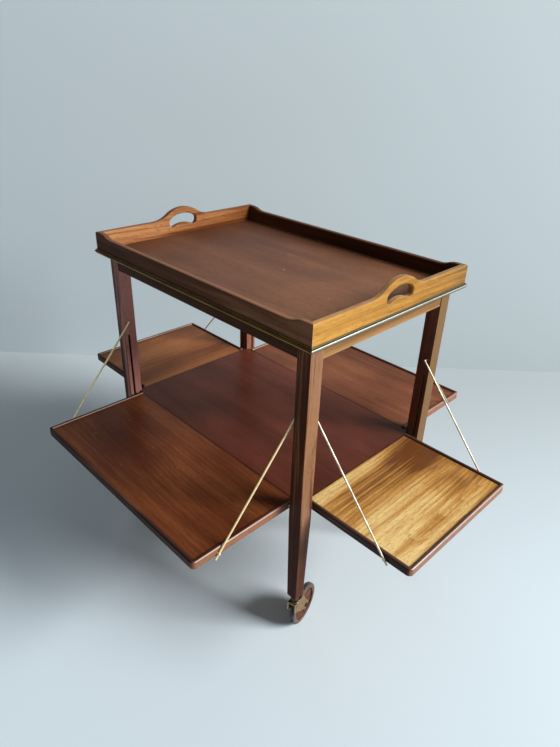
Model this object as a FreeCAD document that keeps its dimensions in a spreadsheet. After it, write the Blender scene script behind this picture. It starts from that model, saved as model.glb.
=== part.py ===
import FreeCAD, Part
import math
import os
import types

import Sketcher

# Drop leaf tea trolley, millimetres. +X is the right end, -Y the front long side, +Z up.
# The origin is on the floor, under the middle of the trolley.
SIZES = {
    # legs: square above the shelf, tapered on their two inner faces below it
    "leg_spread_length": 587.0,
    "leg_spread_width": 393.0,
    "leg_width": 28.5,
    "leg_foot_width": 22.0,
    "leg_foot_height": 105.0,
    "leg_taper_height": 300.0,
    "leg_top_height": 661.5,
    "leg_edge_radius": 1.2,
    # aprons, tenoned into the legs
    "apron_height": 32.5,
    "apron_thickness": 16.0,
    "apron_setback": 1.5,
    "tenon_length": 10.0,
    "tenon_thickness": 6.0,
    "tenon_shoulder": 4.0,
    # fixed top board with its metal edge moulding, which stands up as a lip round the tray
    "top_end_overhang": 16.5,
    "top_side_overhang": 18.5,
    "top_thickness": 4.5,
    "moulding_height": 8.5,
    "moulding_depth": 4.0,
    "moulding_lip": 4.0,
    "moulding_crown": 2.2,
    "moulding_top_bead": 1.8,
    "moulding_top_reach": 2.0,
    "moulding_top_crown": 0.7,
    "moulding_groove_height": 0.6,
    "moulding_groove_reach": 0.8,
    "moulding_foot_height": 1.4,
    "moulding_foot_reach": 2.2,
    "block_length": 60.0,
    "block_height": 18.0,
    "block_depth": 18.0,
    "block_place": 144.0,
    "screw_diameter": 4.0,
    "screw_head_diameter": 7.6,
    "screw_head_height": 2.2,
    "screw_bite": 3.0,
    "screw_clearance": 0.06,
    # lift-off tray
    "tray_clearance": 0.4,
    "tray_floor_thickness": 5.0,
    "tray_rebate": 6.0,
    "tray_tongue": 2.5,
    "end_thickness": 12.5,
    "side_thickness": 12.0,
    "corner_height": 40.0,
    "side_height": 32.5,
    "sweep_start": 20.0,
    "sweep_length": 36.0,
    "hump_height": 24.0,
    "hump_half_width": 78.0,
    "hump_radius": 74.0,
    "hole_half_length": 37.0,
    "hole_end_radius": 8.5,
    "hole_arc_radius": 63.0,
    "hole_foot_height": 28.0,
    "hole_height": 22.0,
    "tray_edge_radius": 3.0,
    "panel_pin_diameter": 1.8,
    "panel_pin_length": 26.0,
    "panel_pin_edge": 9.0,
    "panel_pin_sink": 2.0,
    "panel_pin_clearance": 0.06,
    # lower shelf, its corners let into the legs
    "shelf_top_height": 324.5,
    "shelf_thickness": 16.0,
    "shelf_tongue": 8.0,
    "shelf_edge_inset": 22.5,
    # leaves: a panel and three lipping strips, hung on pins that ride in slots in the legs
    "leaf_reach_long": 208.5,
    "leaf_reach_short": 208.0,
    "leaf_thickness": 12.0,
    "leaf_gap": 0.8,
    "leaf_corner_radius": 9.0,
    "rim_width": 7.5,
    "rim_rise": 3.5,
    "rim_round": 3.4,
    "stay_gap": 9.5,
    "slot_inset": 9.5,
    "slot_depth": 8.0,
    "slot_top_height": 477.0,
    "pivot_diameter": 5.0,
    "pivot_clearance": 0.08,
    "pivot_seat": 20.0,
    "pivot_end_gap": 0.5,
    # stay rods
    "stay_diameter": 3.6,
    "stay_pivot_height": 510.0,
    "stay_hole_depth": 11.0,
    "stay_clearance": 0.06,
    "stay_end_gap": 1.0,
    "stay_stud_reach": 167.0,
    "stay_stud_drop": 1.75,
    "stay_tail": 11.0,
    "stay_stand_off": 1.0,
    "stay_bend_diameter": 4.2,
    "stud_diameter": 4.6,
    "stud_head": 0.5,
    "stud_gap": 0.3,
    # swivel casters
    "wheel_radius": 44.0,
    "wheel_width": 11.0,
    "tyre_thickness": 6.5,
    "tyre_bead_depth": 1.5,
    "tyre_groove_width": 1.6,
    "tyre_groove_depth": 1.2,
    "tyre_groove_place": 2.4,
    "tyre_seat_clearance": 0.08,
    "wheel_dish_depth": 4.0,
    "wheel_rim_width": 2.4,
    "hub_radius": 8.0,
    "axle_diameter": 6.0,
    "axle_clearance": 0.08,
    "axle_head_diameter": 9.0,
    "axle_head_height": 2.0,
    "fork_gap": 1.5,
    "fork_thickness": 2.2,
    "fork_trail": 35.0,
    "fork_crown_height": 88.0,
    "fork_front": 12.0,
    "fork_shoulder": 19.0,
    "fork_crown_reach": 11.0,
    "fork_cheek_drop": 20.0,
    "fork_nose_radius": 9.5,
    "collar_diameter": 17.0,
    "stem_diameter": 8.0,
    "stem_length": 40.0,
    "stem_clearance": 0.06,
    "socket_diameter": 11.0,
    "socket_flange_diameter": 18.0,
    "socket_flange_height": 1.6,
    "socket_end_wall": 2.0,
    "socket_clearance": 0.06,
    "collar_play": 0.3,
}

# Direction in which each caster's wheel trails, in degrees from +X.
HEADING_ANGLES = {"front_left": 60.0, "front_right": 103.9, "back_right": 160.0, "back_left": 215.0}


class Size:
    """A number together with the sheet expression that gives it."""

    def __init__(self, number, text):
        self.number = number
        self.text = text

    def __add__(self, other):
        other = as_size(other)
        return Size(self.number + other.number, f"({self.text} + {other.text})")

    def __sub__(self, other):
        other = as_size(other)
        return Size(self.number - other.number, f"({self.text} - {other.text})")

    def __mul__(self, other):
        other = as_size(other)
        return Size(self.number * other.number, f"({self.text} * {other.text})")

    def __truediv__(self, other):
        other = as_size(other)
        return Size(self.number / other.number, f"({self.text} / {other.text})")

    def __neg__(self):
        return as_size(0) - self

    def __radd__(self, other):
        return as_size(other) + self

    def __rsub__(self, other):
        return as_size(other) - self

    def __rmul__(self, other):
        return as_size(other) * self


def as_size(thing):
    if isinstance(thing, Size):
        return thing
    return Size(float(thing), f"({float(thing)!r})")


def root(size):
    return Size(math.sqrt(size.number), f"sqrt({size.text})")


def tilt(across, up):
    """Angle in degrees whose tangent is across / up."""
    return Size(math.degrees(math.atan2(across.number, up.number)), f"atan2({across.text}; {up.text})")


def vector(point):
    return FreeCAD.Vector(*[as_size(part).number for part in point])


doc = FreeCAD.newDocument("TeaTrolley")
sheet = doc.addObject("Spreadsheet::Sheet", "Sizes")
for row, (alias, number) in enumerate(SIZES.items(), start=1):
    sheet.set(f"A{row}", alias)
    sheet.set(f"B{row}", str(number))
    sheet.setAlias(f"B{row}", alias)
doc.recompute()
D = types.SimpleNamespace(**{alias: Size(number, f"Sizes.{alias}") for alias, number in SIZES.items()})

X_AXIS = FreeCAD.Vector(1, 0, 0)
Y_AXIS = FreeCAD.Vector(0, 1, 0)
Z_AXIS = FreeCAD.Vector(0, 0, 1)
NO_TURN = FreeCAD.Rotation()
ALONG_X = FreeCAD.Rotation(Y_AXIS, 90)
ALONG_Y = FreeCAD.Rotation(X_AXIS, -90)
PIECES = []


def bind(thing, **sizes):
    for name, size in sizes.items():
        thing.setExpression(name, as_size(size).text)
    return thing


def place(thing, point, turn=NO_TURN):
    thing.Placement = FreeCAD.Placement(vector(point), turn)
    for axis, part in zip("xyz", point):
        thing.setExpression(f"Placement.Base.{axis}", as_size(part).text)
    return thing


def piece(thing, label):
    thing.Label = label
    PIECES.append(thing)
    return thing


def box(low, high):
    thing = doc.addObject("Part::Box", "Box")
    spans = [as_size(b) - a for a, b in zip(low, high)]
    bind(thing, Length=spans[0], Width=spans[1], Height=spans[2])
    return place(thing, low)


def rod(start, length, diameter, turn=NO_TURN):
    thing = doc.addObject("Part::Cylinder", "Cylinder")
    bind(thing, Radius=diameter / 2, Height=length)
    return place(thing, start, turn)


def ball(centre, diameter):
    thing = doc.addObject("Part::Sphere", "Sphere")
    bind(thing, Radius=diameter / 2)
    return place(thing, centre)


def fuse(parts):
    thing = doc.addObject("Part::MultiFuse", "Fuse")
    thing.Shapes = parts
    return thing


def cut(base, tools):
    thing = doc.addObject("Part::Cut", "Cut")
    thing.Base = base
    thing.Tool = tools[0] if len(tools) == 1 else fuse(tools)
    return thing


def group(parts):
    thing = doc.addObject("Part::Compound", "Group")
    thing.Links = parts
    return thing


def body():
    return doc.addObject("PartDesign::Body", "Body")


def sketch(owner, role, offset=0.0):
    """An empty sketch on one of the body's origin planes, moved along its normal."""
    plane = [item for item in owner.Origin.OriginFeatures if item.Role == role][0]
    thing = owner.newObject("Sketcher::SketchObject", "Sketch")
    thing.AttachmentSupport = (plane, [""])
    thing.MapMode = "FlatFace"
    thing.setExpression("AttachmentOffset.Base.z", as_size(offset).text)
    return thing


def outline(drawing, points, arcs=()):
    """Closed outline through points; arcs maps a side's index to (radius, bulge side).

    The bulge side is +1 where the arc bows to the left of its direction of travel, -1 to the right.
    """
    arcs = dict(arcs)
    places = [FreeCAD.Vector(as_size(a).number, as_size(b).number, 0) for a, b in points]
    sides = []
    for index, start in enumerate(places):
        end = places[(index + 1) % len(places)]
        if index not in arcs:
            sides.append(drawing.addGeometry(Part.LineSegment(start, end)))
            continue
        radius, bulge = arcs[index]
        half = (end - start) / 2
        left = FreeCAD.Vector(-half.y, half.x, 0).normalize()
        rise = radius.number - math.sqrt(max(radius.number ** 2 - half.Length ** 2, 0.0))
        middle = start + half + left * (rise * bulge)
        sides.append(drawing.addGeometry(Part.Arc(start, middle, end)))
    for index, side in enumerate(sides):
        first, last = ends_of(index, arcs)
        following = sides[(index + 1) % len(sides)]
        next_first = ends_of((index + 1) % len(sides), arcs)[0]
        drawing.addConstraint(Sketcher.Constraint("Coincident", side, last, following, next_first))
        for kind, part in zip(("DistanceX", "DistanceY"), points[index]):
            fixed = Sketcher.Constraint(kind, -1, 1, side, first, as_size(part).number)
            drawing.setExpression(f"Constraints[{drawing.addConstraint(fixed)}]", as_size(part).text)
        if index in arcs:
            radius = arcs[index][0]
            turn = drawing.addConstraint(Sketcher.Constraint("Radius", side, radius.number))
            drawing.setExpression(f"Constraints[{turn}]", radius.text)
    return drawing


def ends_of(index, arcs):
    """Vertex numbers at the start and end of a side; arcs run anticlockwise in a sketch."""
    if index in arcs and arcs[index][1] > 0:
        return 2, 1
    return 1, 2


def pad(owner, drawing, length, middle=False):
    thing = owner.newObject("PartDesign::Pad", "Pad")
    thing.Profile = drawing
    thing.SideType = "Symmetric" if middle else "One side"
    return bind(thing, Length=length)


def pocket(owner, drawing, length):
    """Cut half the length to each side of the drawing's plane."""
    thing = owner.newObject("PartDesign::Pocket", "Pocket")
    thing.Profile = drawing
    thing.SideType = "Symmetric"
    return bind(thing, Length=length)


def revolve(owner, drawing):
    """Full turn about the body's Z axis."""
    axis = [item for item in owner.Origin.OriginFeatures if item.Role == "Z_Axis"][0]
    thing = owner.newObject("PartDesign::Revolution", "Revolution")
    thing.Profile = drawing
    thing.ReferenceAxis = (axis, [""])
    thing.Angle = 360.0
    return thing


def soften(owner, base, radius, wanted):
    """Fillet the edges of a feature that wanted() accepts."""
    doc.recompute()
    edges = [f"Edge{i}" for i, edge in enumerate(base.Shape.Edges, start=1) if wanted(edge)]
    thing = owner.newObject("PartDesign::Fillet", "Fillet")
    thing.Base = (base, edges)
    return bind(thing, Radius=radius)


# Lines that several pieces share.
CUT_MARGIN = 1.0
half_x = D.leg_spread_length / 2
half_y = D.leg_spread_width / 2
apron_bottom = D.leg_top_height - D.apron_height
tray_base = D.leg_top_height + D.top_thickness
top_half_x = half_x + D.top_end_overhang
top_half_y = half_y + D.top_side_overhang
tray_half_x = top_half_x - D.tray_clearance
tray_half_y = top_half_y - D.tray_clearance
shelf_bottom = D.shelf_top_height - D.shelf_thickness
leaf_bottom = D.shelf_top_height - D.leaf_thickness
pivot_height = D.shelf_top_height - D.leaf_thickness / 2
leaf_inner_edge = D.shelf_edge_inset - D.leaf_gap
slot_width = D.pivot_diameter + 2 * D.pivot_clearance
socket_floor = D.leg_foot_height - D.socket_flange_height

# Corners and sides in order, a quarter turn apart.
CORNERS = ("front_left", "front_right", "back_right", "back_left")
SIDES = ("front", "right", "back", "left")


def corner_lines(corner):
    """Signs of X and Y at a corner, and the turn that points the leg's own axes inwards."""
    depth, width = corner.split("_")
    return (1 if width == "right" else -1), (1 if depth == "back" else -1), 90 * CORNERS.index(corner)


def side_lines(side):
    """Turn about Z from the front, distance of the legs' outer faces from the middle,
    half the clear span between the legs, and how far the leaf reaches past the legs."""
    turn = 90 * SIDES.index(side)
    if side in ("front", "back"):
        return turn, half_y, half_x - D.leg_width, D.leaf_reach_long
    return turn, half_x, half_y - D.leg_width, D.leaf_reach_short


def quarter(turn):
    """Whole-number sine and cosine of a quarter turn."""
    return round(math.sin(math.radians(turn))), round(math.cos(math.radians(turn)))


def put_on_side(thing, turn, distance, height=0.0):
    """Place a piece drawn for the front, with its own -Y outwards, on one of the four sides."""
    sine, cosine = quarter(turn)
    return place(thing, (sine * distance, -cosine * distance, height), FreeCAD.Rotation(Z_AXIS, turn))


def along(axis, across, start, height, length, diameter):
    """Round cutter or pin along the leg's own X or Y axis."""
    if axis == "x":
        return rod((start, across, height), length, diameter, ALONG_X)
    return rod((across, start, height), length, diameter, ALONG_Y)


def swap(axis, first, second, third):
    """Point given along and across a direction, which is the leg's own X or Y."""
    return (first, second, third) if axis == "x" else (second, first, third)


def leg(label, corner):
    wide = D.leg_width
    upper = box((0, 0, D.leg_taper_height), (wide, wide, D.leg_top_height))
    lower = doc.addObject("Part::Wedge", "Wedge")
    for name in ("Xmin", "Zmin", "X2min", "Z2min", "Ymin"):
        setattr(lower, name, 0.0)
    bind(lower, Xmax=wide, Zmax=wide, X2max=D.leg_foot_width, Z2max=D.leg_foot_width)
    bind(lower, Ymax=D.leg_taper_height - D.leg_foot_height)
    place(lower, (0, 0, D.leg_taper_height), ALONG_Y)
    foot = D.leg_foot_height
    middle = D.leg_foot_width / 2
    radius = D.leg_edge_radius
    corner_box = box((-CUT_MARGIN, -CUT_MARGIN, foot), (radius, radius, D.leg_top_height))
    corner_round = rod((radius, radius, foot), D.leg_top_height - foot, 2 * radius)
    tools = [
        cut(corner_box, [corner_round]),
        box((D.shelf_edge_inset, D.shelf_edge_inset, shelf_bottom),
            (wide, wide, shelf_bottom + D.shelf_tongue)),
        rod((middle, middle, foot), D.stem_length + D.socket_end_wall,
            D.socket_diameter + 2 * D.socket_clearance),
    ]
    for axis in "xy":
        tools += leg_cuts(axis)
    sx, sy, turn = corner_lines(corner)
    done = cut(fuse([upper, lower]), tools)
    place(done, (sx * half_x, sy * half_y, 0), FreeCAD.Rotation(Z_AXIS, turn))
    return piece(done, label)


def leg_cuts(axis):
    """Slot, stay hole and mortise in the leg's inner face towards +X or +Y."""
    face = D.leg_width
    slot_start = face - D.slot_depth
    slot_top = D.slot_top_height - slot_width / 2
    inset = D.slot_inset
    tenon_start = D.apron_setback + (D.apron_thickness - D.tenon_thickness) / 2
    return [
        box(swap(axis, slot_start, inset - slot_width / 2, pivot_height),
            swap(axis, face, inset + slot_width / 2, slot_top)),
        along(axis, inset, slot_start, pivot_height, D.slot_depth, slot_width),
        along(axis, inset, slot_start, slot_top, D.slot_depth, slot_width),
        along(axis, inset, face - D.stay_hole_depth, D.stay_pivot_height, D.stay_hole_depth,
              D.stay_diameter + 2 * D.stay_clearance),
        box(swap(axis, face - D.tenon_length, tenon_start, apron_bottom + D.tenon_shoulder),
            swap(axis, face, tenon_start + D.tenon_thickness, D.leg_top_height - D.tenon_shoulder)),
    ]


def apron(label, side):
    turn, distance, span, _ = side_lines(side)
    rail = box((-span, D.apron_setback, apron_bottom),
               (span, D.apron_setback + D.apron_thickness, D.leg_top_height))
    start = D.apron_setback + (D.apron_thickness - D.tenon_thickness) / 2
    tenon = box((-span - D.tenon_length, start, apron_bottom + D.tenon_shoulder),
                (span + D.tenon_length, start + D.tenon_thickness, D.leg_top_height - D.tenon_shoulder))
    return piece(put_on_side(fuse([rail, tenon]), turn, distance), label)


def fixing_places():
    """Middle of each block that holds the top board, on the aprons' inner faces."""
    deep_x = half_x - D.apron_setback - D.apron_thickness - D.block_depth / 2
    deep_y = half_y - D.apron_setback - D.apron_thickness - D.block_depth / 2
    apart = D.block_place
    along_x = [(sx * apart, sy * deep_y, "x") for sx in (-1, 1) for sy in (-1, 1)]
    along_y = [(sx * deep_x, as_size(0), "y") for sx in (-1, 1)]
    return along_x + along_y


def top_fixings():
    blocks = []
    screws = []
    low = D.leg_top_height - D.block_height
    for x, y, axis in fixing_places():
        length = D.block_length / 2
        depth = D.block_depth / 2
        dx, dy = (length, depth) if axis == "x" else (depth, length)
        bore = rod((x, y, low), D.block_height, D.screw_diameter + 2 * D.screw_clearance)
        blocks.append(cut(box((x - dx, y - dy, low), (x + dx, y + dy, D.leg_top_height)), [bore]))
        shank = rod((x, y, low), D.block_height + D.screw_bite, D.screw_diameter)
        head = rod((x, y, low - D.screw_head_height), D.screw_head_height, D.screw_head_diameter)
        screws.append(fuse([shank, head]))
    piece(group(blocks), "top_fixing_blocks")
    piece(group(screws), "top_fixing_screws")


def top_board():
    board = box((-top_half_x, -top_half_y, D.leg_top_height), (top_half_x, top_half_y, tray_base))
    bores = [
        rod((x, y, D.leg_top_height), D.screw_bite, D.screw_diameter + 2 * D.screw_clearance)
        for x, y, _ in fixing_places()
    ]
    return piece(cut(board, bores), "top_board")


def moulding(label, side):
    """Edge moulding with a small bead, a groove, a large bead and a foot, mitred at both ends."""
    turn = side_lines(side)[0]
    half, distance = (top_half_x, top_half_y) if turn % 180 == 0 else (top_half_y, top_half_x)
    depth = D.moulding_depth
    high = D.moulding_height
    shoulder = D.moulding_crown - depth
    top_shoulder = D.moulding_top_crown - D.moulding_top_reach
    groove_top = high - D.moulding_top_bead
    groove_low = groove_top - D.moulding_groove_height
    groove = -D.moulding_groove_reach
    foot = D.moulding_foot_height
    foot_reach = -D.moulding_foot_reach
    owner = body()
    profile = outline(
        sketch(owner, "YZ_Plane"),
        [(0, 0), (0, high), (top_shoulder, high), (top_shoulder, groove_top),
         (groove, groove_top), (groove, groove_low),
         (shoulder, groove_low), (shoulder, foot), (foot_reach, foot), (foot_reach, 0)],
        {2: (bow(D.moulding_top_bead, D.moulding_top_crown), -1),
         6: (bow(groove_low - foot, D.moulding_crown), -1)},
    )
    pad(owner, profile, 2 * (half + depth), middle=True)
    for end in (-1, 1):
        inner = (half - CUT_MARGIN) * end
        outer = (half + depth + CUT_MARGIN) * end
        corner = outline(sketch(owner, "XY_Plane"),
                         [(inner, CUT_MARGIN), (outer, -depth - CUT_MARGIN), (outer, CUT_MARGIN)])
        pocket(owner, corner, 2 * (D.moulding_height + CUT_MARGIN))
    put_on_side(owner, turn, distance, tray_base + D.moulding_lip - D.moulding_height)
    return piece(owner, label)


def bow(chord, rise):
    """Radius of an arc that rises this far over a chord."""
    return (chord * chord / 4 + rise * rise) / (2 * rise)


def mitre(owner, turned):
    """Cut a tray board's ends along the lines from the tray's inner to its outer corners."""
    thick_x = D.end_thickness
    thick_y = D.side_thickness
    past_x = thick_x / 4
    past_y = thick_y / 4
    near = (tray_half_x - thick_x - past_x, tray_half_y - thick_y - past_y)
    far = (tray_half_x + past_x, tray_half_y + past_y)
    for sign in (-1, 1):
        if turned:
            points = [(sign * near[0], -near[1]), (sign * far[0], -far[1]), (sign * far[0], -near[1])]
        else:
            points = [(near[0], sign * near[1]), (far[0], sign * far[1]), (near[0], sign * far[1])]
        tall = D.corner_height + D.hump_height + CUT_MARGIN
        pocket(owner, outline(sketch(owner, "XY_Plane"), points), 2 * tall)


def tray_end(label, turn):
    """End board with a hump and a kidney-shaped hand-hole; drawn for the right end."""
    wide = tray_half_y
    top = D.corner_height
    foot = D.hump_half_width
    both = (foot * foot + D.hump_height * D.hump_height) / (2 * D.hump_height)
    foot_radius = both - D.hump_radius
    bend_y = foot * D.hump_radius / both
    bend_z = top + D.hump_height - D.hump_radius + (both - D.hump_height) * D.hump_radius / both
    owner = body()
    drawing = sketch(owner, "YZ_Plane", tray_half_x - D.end_thickness)
    outline(
        drawing,
        [(-wide, 0), (wide, 0), (wide, top), (foot, top), (bend_y, bend_z),
         (-bend_y, bend_z), (-foot, top), (-wide, top)],
        {3: (foot_radius, 1), 4: (D.hump_radius, -1), 5: (foot_radius, 1)},
    )
    hand_hole(drawing)
    board = pad(owner, drawing, D.end_thickness)
    edge_y = wide.number - CUT_MARGIN

    def shows(edge):
        middle = edge.CenterOfMass
        across = abs(edge.Vertexes[0].X - edge.Vertexes[-1].X) > CUT_MARGIN / 10
        return not across and middle.z > CUT_MARGIN and abs(middle.y) < edge_y

    soften(owner, board, D.tray_edge_radius, shows)
    mitre(owner, False)
    inner = tray_half_x - D.end_thickness
    reach = tray_half_y - D.side_thickness + D.tray_rebate
    rebate = box((inner, -reach, 0), (inner + D.tray_rebate, reach, D.tray_tongue))
    done = cut(owner, [rebate] + panel_pins(D.panel_pin_clearance))
    return piece(place(done, (0, 0, tray_base), FreeCAD.Rotation(Z_AXIS, turn)), label)


def hand_hole(drawing):
    big = D.hole_arc_radius
    small = D.hole_end_radius
    half = D.hole_half_length
    end_y = half - small
    top_centre = D.hole_foot_height + D.hole_height - big
    low_centre = D.hole_foot_height - big
    rise = root((big - small) * (big - small) - end_y * end_y)
    fall = root((big + small) * (big + small) - end_y * end_y)
    grow = big / (big - small)
    shrink = big / (big + small)
    right = [
        (end_y * grow, top_centre + rise * grow),
        (half, top_centre + rise),
        (half, low_centre + fall),
        (end_y * shrink, low_centre + fall * shrink),
    ]
    left = [(-y, z) for y, z in reversed(right)]
    ends = {0: (small, 1), 2: (small, 1), 4: (small, 1), 6: (small, 1)}
    outline(drawing, right + left, {**ends, 3: (big, -1), 7: (big, 1)})


def tray_side(label, turn):
    """Long side whose top edge sweeps up to the corners; drawn for the front."""
    length = tray_half_x
    high = D.corner_height
    low = D.side_height
    start = tray_half_x - D.sweep_start
    middle = start - D.sweep_length / 2
    end = start - D.sweep_length
    run = D.sweep_length / 2
    step = (high - low) / 2
    radius = (run * run + step * step) / (2 * step)
    owner = body()
    right = [(length, 0), (length, high), (start, high), (middle, low + step), (end, low)]
    left = [(-x, z) for x, z in reversed(right)]
    profile = outline(
        sketch(owner, "XZ_Plane", tray_half_y - D.side_thickness),
        right + left,
        {2: (radius, -1), 3: (radius, 1), 5: (radius, 1), 6: (radius, -1)},
    )
    board = pad(owner, profile, D.side_thickness)
    edge_x = length.number - CUT_MARGIN

    def shows(edge):
        middle = edge.CenterOfMass
        across = abs(edge.Vertexes[0].Y - edge.Vertexes[-1].Y) > CUT_MARGIN / 10
        return not across and middle.z > low.number - CUT_MARGIN and abs(middle.x) < edge_x

    soften(owner, board, D.tray_edge_radius, shows)
    mitre(owner, True)
    inner = -tray_half_y + D.side_thickness
    reach = tray_half_x - D.end_thickness + D.tray_rebate
    rebate = box((-reach, inner - D.tray_rebate, 0), (reach, inner, D.tray_tongue))
    done = cut(owner, [rebate] + panel_pins(D.panel_pin_clearance))
    return piece(place(done, (0, 0, tray_base), FreeCAD.Rotation(Z_AXIS, turn)), label)


def panel_pins(clearance=0.0):
    """Sunk pins through the tray's mitres, or their bores, in the tray's frame."""
    heights = (D.panel_pin_edge, D.corner_height - D.panel_pin_edge)
    depth = tray_half_y - D.side_thickness / 2
    start = tray_half_x - D.panel_pin_sink
    return [
        rod((sx * start, sy * depth, height), D.panel_pin_length, D.panel_pin_diameter + 2 * clearance,
            FreeCAD.Rotation(Y_AXIS, -90 * sx))
        for sx in (-1, 1) for sy in (-1, 1) for height in heights
    ]


def tray_floor():
    """Floor whose lower half is a tongue let into the boards round it."""
    inner_x = tray_half_x - D.end_thickness
    inner_y = tray_half_y - D.side_thickness
    reach_x = inner_x + D.tray_rebate
    reach_y = inner_y + D.tray_rebate
    board = box((-inner_x, -inner_y, tray_base), (inner_x, inner_y, tray_base + D.tray_floor_thickness))
    tongue = box((-reach_x, -reach_y, tray_base), (reach_x, reach_y, tray_base + D.tray_tongue))
    return piece(fuse([board, tongue]), "tray_floor")


def shelf():
    """Shelf whose corners are cut back above a tongue that is let into the legs."""
    reach_x = half_x - D.shelf_edge_inset
    reach_y = half_y - D.shelf_edge_inset
    board = box((-reach_x, -reach_y, shelf_bottom), (reach_x, reach_y, D.shelf_top_height))
    deep = D.leg_width - D.shelf_edge_inset
    corners = [
        box((x, y, shelf_bottom + D.shelf_tongue), (x + deep, y + deep, D.shelf_top_height))
        for x in (-reach_x, reach_x - deep) for y in (-reach_y, reach_y - deep)
    ]
    return piece(cut(board, corners), "lower_shelf")


def leaf_profile(top, outer):
    """Section across a leaf: square outer end, and a heel rounded underneath to turn past the shelf."""
    round_heel = D.leaf_thickness / 2
    points = [
        (outer, top),
        (leaf_inner_edge, top),
        (leaf_inner_edge, pivot_height),
        (leaf_inner_edge - round_heel, leaf_bottom),
        (outer, leaf_bottom),
    ]
    return points, {2: (round_heel, 1)}


def pivot_bores(span):
    """Bores for the pivot pins in both side edges of a leaf."""
    edge = span - D.stay_gap
    size = D.pivot_diameter + 2 * D.pivot_clearance
    seat = D.pivot_seat
    return [rod((start, D.slot_inset, pivot_height), seat, size, ALONG_X) for start in (-edge, edge - seat)]


def leaf_panel(label, side):
    turn, distance, span, reach = side_lines(side)
    points, arcs = leaf_profile(D.shelf_top_height, D.rim_width - reach)
    owner = body()
    profile = outline(sketch(owner, "YZ_Plane"), points, arcs)
    pad(owner, profile, 2 * (span - D.stay_gap - D.rim_width), middle=True)
    done = cut(owner, pivot_bores(span))
    return piece(put_on_side(done, turn, distance), label)


def leaf_rim(label, side):
    """Two side strips and an outer strip, mitred where they meet, with a rounded top."""
    turn, distance, span, reach = side_lines(side)
    half = span - D.stay_gap
    top = D.shelf_top_height + D.rim_rise
    strips = [cut(side_strip(sign, half, reach, top), pivot_bores(span)) for sign in (-1, 1)]
    strips.append(outer_strip(half, reach, top))
    return piece(put_on_side(group(strips), turn, distance), label)


def side_strip(sign, half, reach, top):
    points, arcs = leaf_profile(top, -reach)
    owner = body()
    start = half - D.rim_width if sign > 0 else -half
    strip = pad(owner, outline(sketch(owner, "YZ_Plane", start), points, arcs), D.rim_width)

    def on_top(edge):
        ends = [vertex.Point for vertex in edge.Vertexes]
        level = all(abs(end.z - top.number) < CUT_MARGIN / 10 for end in ends)
        return level and abs(ends[0].y - ends[1].y) > CUT_MARGIN

    soften(owner, strip, D.rim_round, on_top)
    inner = D.rim_width + CUT_MARGIN
    corner = outline(
        sketch(owner, "XY_Plane"),
        [(sign * (half - inner), inner - reach), (sign * (half + CUT_MARGIN), -reach - CUT_MARGIN),
         (sign * (half - inner), -reach - CUT_MARGIN)],
    )
    pocket(owner, corner, 2 * (top + CUT_MARGIN))
    round_corner(owner, sign, half, reach, top)
    return owner


def outer_strip(half, reach, top):
    owner = body()
    inside = D.rim_width - reach
    section = [(-reach, leaf_bottom), (inside, leaf_bottom), (inside, top), (-reach, top)]
    strip = pad(owner, outline(sketch(owner, "YZ_Plane"), section), 2 * half, middle=True)

    def on_top(edge):
        ends = [vertex.Point for vertex in edge.Vertexes]
        level = all(abs(end.z - top.number) < CUT_MARGIN / 10 for end in ends)
        return level and abs(ends[0].x - ends[1].x) > CUT_MARGIN

    soften(owner, strip, D.rim_round, on_top)
    inner = D.rim_width + CUT_MARGIN
    for sign in (-1, 1):
        corner = outline(
            sketch(owner, "XY_Plane"),
            [(sign * (half - inner), inner - reach), (sign * (half + CUT_MARGIN), -reach - CUT_MARGIN),
             (sign * (half + CUT_MARGIN), inner - reach)],
        )
        pocket(owner, corner, 2 * (top + CUT_MARGIN))
        round_corner(owner, sign, half, reach, top)
    return owner


def round_corner(owner, sign, half, reach, top):
    """Round off a strip where it meets the leaf's outer corner."""
    radius = D.leaf_corner_radius
    near = sign * (half - radius)
    past = sign * (half + CUT_MARGIN)
    corner = outline(
        sketch(owner, "XY_Plane"),
        [(near, -reach), (near, -reach - CUT_MARGIN), (past, -reach - CUT_MARGIN), (past, radius - reach),
         (sign * half, radius - reach)],
        {4: (radius, sign)},
    )
    pocket(owner, corner, 2 * (top + CUT_MARGIN))


def leaf_pivots(label, side):
    """Pins in the leaf's inner corners, reaching into the slots of the legs."""
    turn, distance, span, _ = side_lines(side)
    inner = span - D.stay_gap - D.pivot_seat + D.pivot_end_gap
    length = D.pivot_seat + D.stay_gap + D.slot_depth - 2 * D.pivot_end_gap
    pins = [
        rod((start, D.slot_inset, pivot_height), length, D.pivot_diameter, ALONG_X)
        for start in (-inner - length, inner)
    ]
    return piece(put_on_side(group(pins), turn, distance), label)


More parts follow.
